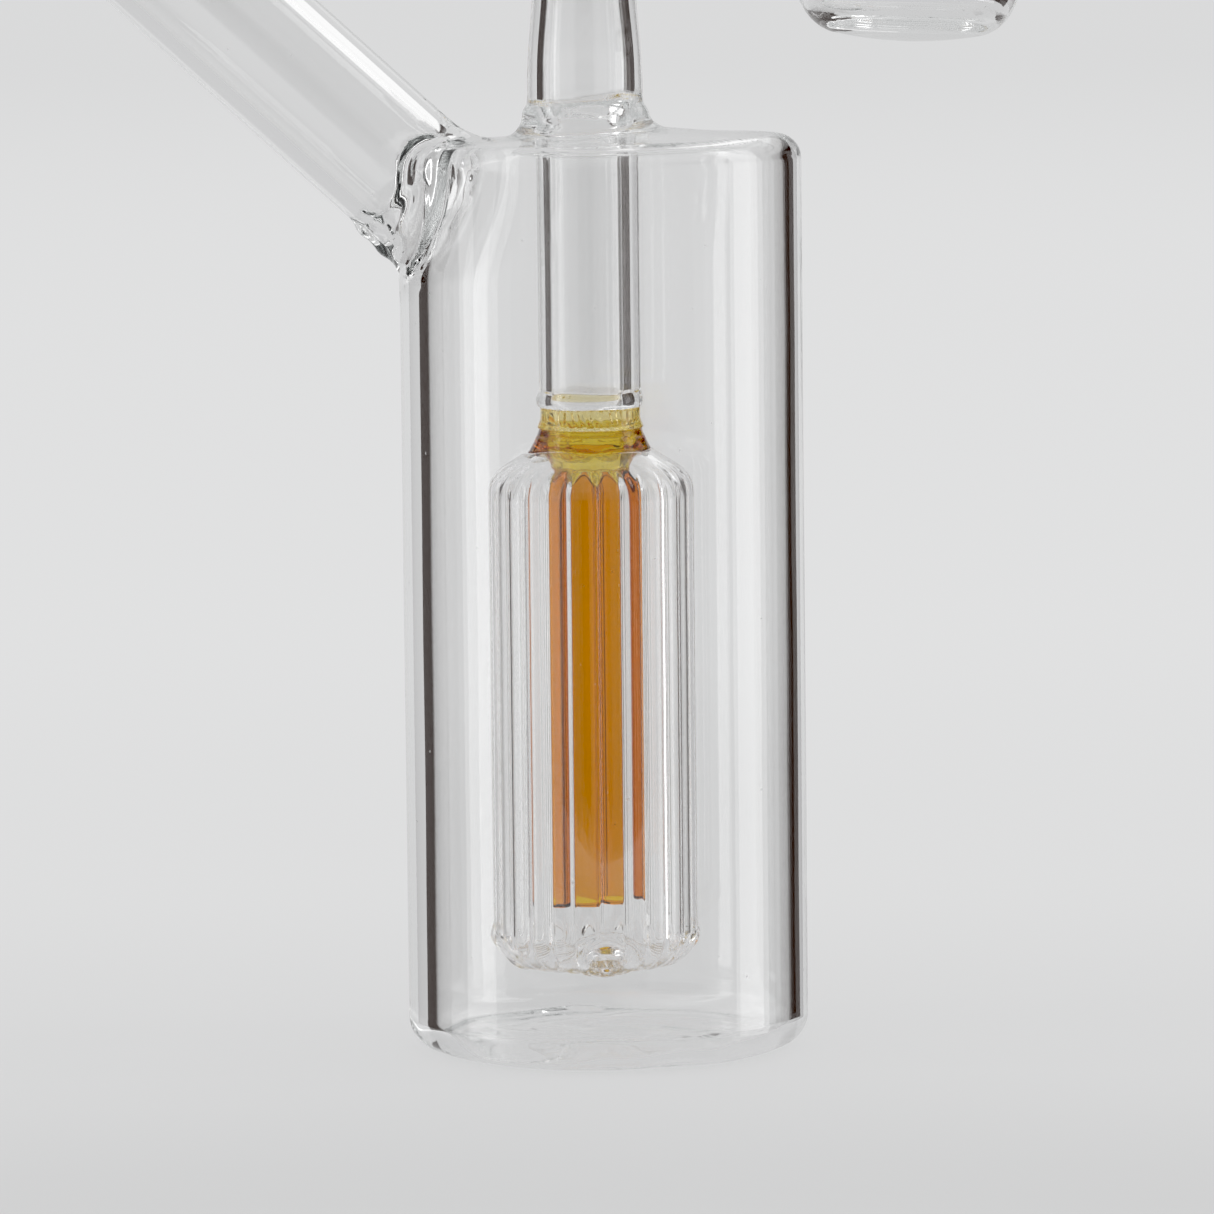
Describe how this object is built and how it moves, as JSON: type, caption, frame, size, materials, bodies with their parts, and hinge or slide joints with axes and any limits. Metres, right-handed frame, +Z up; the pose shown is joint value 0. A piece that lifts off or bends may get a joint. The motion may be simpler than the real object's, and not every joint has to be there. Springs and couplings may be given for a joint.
{
  "type": "glass bubbler",
  "caption": "Clear glass bubbler: a flat-based can with a slanted neck, and a side cup feeding a dip tube and fluted diffuser with amber inner glass.",
  "frame": {"origin": "centre of the can's flat underside", "axes": "+Z up along the can's axis, -X towards the slanted neck, +X towards the side cup"},
  "size_m": [0.1456, 0.046, 0.1706],
  "materials": {
    "clear_glass": "clear, flame-polished",
    "amber_glass": "transparent amber, flame-polished"
  },
  "bodies": {
    "root": {"can_base": "clear_glass", "can_barrel": "clear_glass", "can_top": "clear_glass", "neck_weld": "clear_glass", "neck_tube": "clear_glass", "mouth_lip": "clear_glass", "riser_weld": "clear_glass", "riser_tube": "clear_glass", "arm_tube": "clear_glass", "cup_weld": "clear_glass", "cup": "clear_glass", "dip_weld": "clear_glass", "dip_tube": "clear_glass", "seam_bead": "clear_glass", "fluted_jacket": "clear_glass", "amber_collar": "amber_glass", "drop_tube": "amber_glass"}
  },
  "joints": []
}
